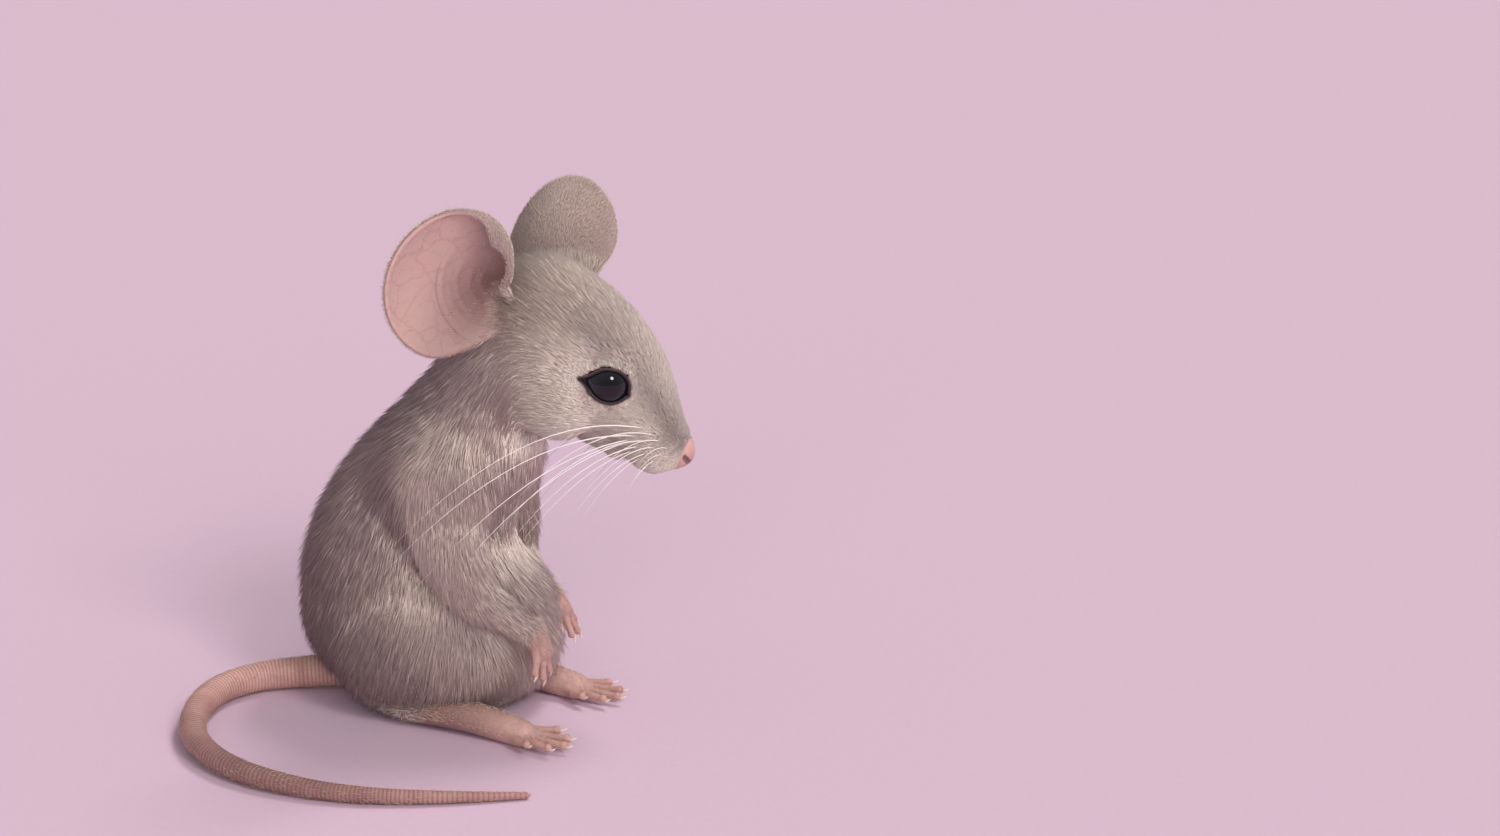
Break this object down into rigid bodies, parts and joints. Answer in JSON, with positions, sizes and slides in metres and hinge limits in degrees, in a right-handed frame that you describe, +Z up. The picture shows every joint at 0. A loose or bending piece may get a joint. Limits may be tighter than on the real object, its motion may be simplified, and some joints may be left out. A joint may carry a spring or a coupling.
{
  "type": "grey mouse sitting upright, life-size animal model",
  "caption": "Still, life-size grey mouse sitting upright on its haunches, forelegs hanging, long bare tail curled round its side.",
  "frame": {"origin": "on the floor, under the middle of the rump's flat seat", "axes": "+X forward, the way the body and feet point; +Y to the animal's left; +Z up"},
  "size_m": [0.063, 0.0579, 0.0682],
  "materials": {
    "coat": "short soft grey-brown fur, matt, paler on the face and belly",
    "skin": "bare pink skin, thin and slightly translucent, finely ridged on the tail",
    "eye": "wet, nearly black, clear gloss",
    "claw": "pale translucent horn",
    "whisker": "white, fine and slightly glossy"
  },
  "bodies": {
    "root": {"head": "coat", "neck": "coat", "trunk": "coat", "foreleg_left": "coat", "foreleg_right": "coat", "hindleg_left": "coat", "hindleg_right": "coat", "ear_left": "skin", "ear_right": "skin", "forepaw_left": "skin", "forepaw_right": "skin", "hindfoot_left": "skin", "hindfoot_right": "skin", "tail_root": "skin", "tail_base": "skin", "tail_middle": "skin", "tail_end": "skin", "tail_tip": "skin", "eye_left": "eye", "eye_right": "eye"}
  },
  "joints": []
}
